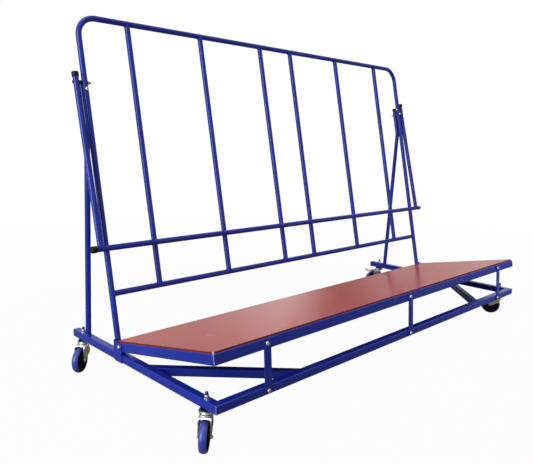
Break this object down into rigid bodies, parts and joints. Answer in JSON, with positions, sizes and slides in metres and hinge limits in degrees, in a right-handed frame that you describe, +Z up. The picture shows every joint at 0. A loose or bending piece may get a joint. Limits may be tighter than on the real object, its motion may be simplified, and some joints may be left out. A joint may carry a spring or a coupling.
{
  "type": "mat trolley",
  "caption": "Long mat trolley: tube base on swivel castors, sloping plywood deck, leaning barred back frame and a retaining bar that swings over the back.",
  "frame": {"origin": "on the floor under the middle of the trolley's bounding box", "axes": "+X along the trolley to its right as seen from the open deck side, +Y to the rear where the back frame leans, +Z up"},
  "size_m": [2.2196, 0.937, 1.3881],
  "materials": {
    "blue_paint": "glossy deep blue powder coat over steel tube",
    "deck_ply": "red-brown film-faced plywood with a soft gloss",
    "bright_zinc": "bright zinc plated steel",
    "yellow_zinc": "yellow passivated zinc on pressed steel",
    "dark_steel": "dark oiled steel of the castor bolts and the arm bolts",
    "black_plastic": "black plastic of the caps and spacers",
    "black_nylon": "black moulded nylon",
    "blue_tread": "blue non-marking rubber tread"
  },
  "bodies": {
    "trolley_frame": {"arm_bolts": "dark_steel", "arm_spacers": "black_plastic", "back_bar_1": "blue_paint", "back_bar_2": "blue_paint", "back_bar_3": "blue_paint", "back_bar_4": "blue_paint", "back_bar_5": "blue_paint", "back_bar_6": "blue_paint", "back_hoop": "blue_paint", "board_screws": "bright_zinc", "castor_bolts": "dark_steel", "castor_heads": "bright_zinc", "castor_nuts": "bright_zinc", "deck_board": "deck_ply", "deck_cross_members": "blue_paint", "deck_front_rail": "blue_paint", "deck_left_rail": "blue_paint", "deck_rear_rail": "blue_paint", "deck_right_rail": "blue_paint", "end_plates": "blue_paint", "frame_nuts": "bright_zinc", "front_rail": "blue_paint", "left_brace": "blue_paint", "left_end_bar": "blue_paint", "left_rear_post": "blue_paint", "left_strut": "blue_paint", "lower_back_rail": "blue_paint", "middle_strut": "blue_paint", "pivot_bolts": "bright_zinc", "pivot_plates": "blue_paint", "post_bolts": "bright_zinc", "post_caps": "black_plastic", "right_brace": "blue_paint", "right_end_bar": "blue_paint", "right_rear_post": "blue_paint", "right_strut": "blue_paint", "strut_bolts": "bright_zinc"},
    "retaining_frame": {"left_arm": "blue_paint", "right_arm": "blue_paint", "crossbar": "blue_paint", "frame_caps": "black_plastic"},
    "front_left_castor": {"front_left_fork": "yellow_zinc", "front_left_axle": "yellow_zinc"},
    "front_left_wheel": {"front_left_wheel_centre": "black_nylon", "front_left_tyre": "blue_tread"},
    "rear_left_castor": {"rear_left_fork": "yellow_zinc", "rear_left_axle": "yellow_zinc"},
    "rear_left_wheel": {"rear_left_wheel_centre": "black_nylon", "rear_left_tyre": "blue_tread"},
    "front_right_castor": {"front_right_fork": "yellow_zinc", "front_right_axle": "yellow_zinc"},
    "front_right_wheel": {"front_right_wheel_centre": "black_nylon", "front_right_tyre": "blue_tread"},
    "rear_right_castor": {"rear_right_fork": "yellow_zinc", "rear_right_axle": "yellow_zinc"},
    "rear_right_wheel": {"rear_right_wheel_centre": "black_nylon", "rear_right_tyre": "blue_tread"},
    "rear_right_pedal": {"rear_right_brake_pedal": "bright_zinc"}
  },
  "joints": [
    {"name": "retaining_swing", "type": "hinge", "parent": "trolley_frame", "child": "retaining_frame", "pos_m": [0, 0.32851, 1.13452], "axis": [-1, 0, 0], "range_deg": [0, 342]},
    {"name": "front_left_swivel", "type": "hinge", "parent": "trolley_frame", "child": "front_left_castor", "pos_m": [-1.035, -0.3985, 0.11], "axis": [0, 0, 1], "continuous": true},
    {"name": "front_left_roll", "type": "hinge", "parent": "front_left_castor", "child": "front_left_wheel", "pos_m": [-1.06425, -0.42578, 0.05], "axis": [0.682, -0.7314, 0], "continuous": true},
    {"name": "rear_left_swivel", "type": "hinge", "parent": "trolley_frame", "child": "rear_left_castor", "pos_m": [-1.035, 0.4035, 0.11], "axis": [0, 0, 1], "continuous": true},
    {"name": "rear_left_roll", "type": "hinge", "parent": "rear_left_castor", "child": "rear_left_wheel", "pos_m": [-1.06673, 0.37915, 0.05], "axis": [0.6088, -0.7934, 0], "continuous": true},
    {"name": "front_right_swivel", "type": "hinge", "parent": "trolley_frame", "child": "front_right_castor", "pos_m": [1.035, -0.3985, 0.11], "axis": [0, 0, 1], "continuous": true},
    {"name": "front_right_roll", "type": "hinge", "parent": "front_right_castor", "child": "front_right_wheel", "pos_m": [1.02398, -0.36005, 0.05], "axis": [-0.9613, -0.2756, 0], "continuous": true},
    {"name": "rear_right_swivel", "type": "hinge", "parent": "trolley_frame", "child": "rear_right_castor", "pos_m": [1.035, 0.4035, 0.11], "axis": [0, 0, 1], "continuous": true},
    {"name": "rear_right_roll", "type": "hinge", "parent": "rear_right_castor", "child": "rear_right_wheel", "pos_m": [1.00071, 0.4241, 0.05], "axis": [-0.515, -0.8572, 0], "continuous": true},
    {"name": "rear_right_brake", "type": "hinge", "parent": "rear_right_castor", "child": "rear_right_pedal", "pos_m": [1.00586, 0.42101, 0.1045], "axis": [-0.515, -0.8572, 0], "range_deg": [0, 6]}
  ]
}
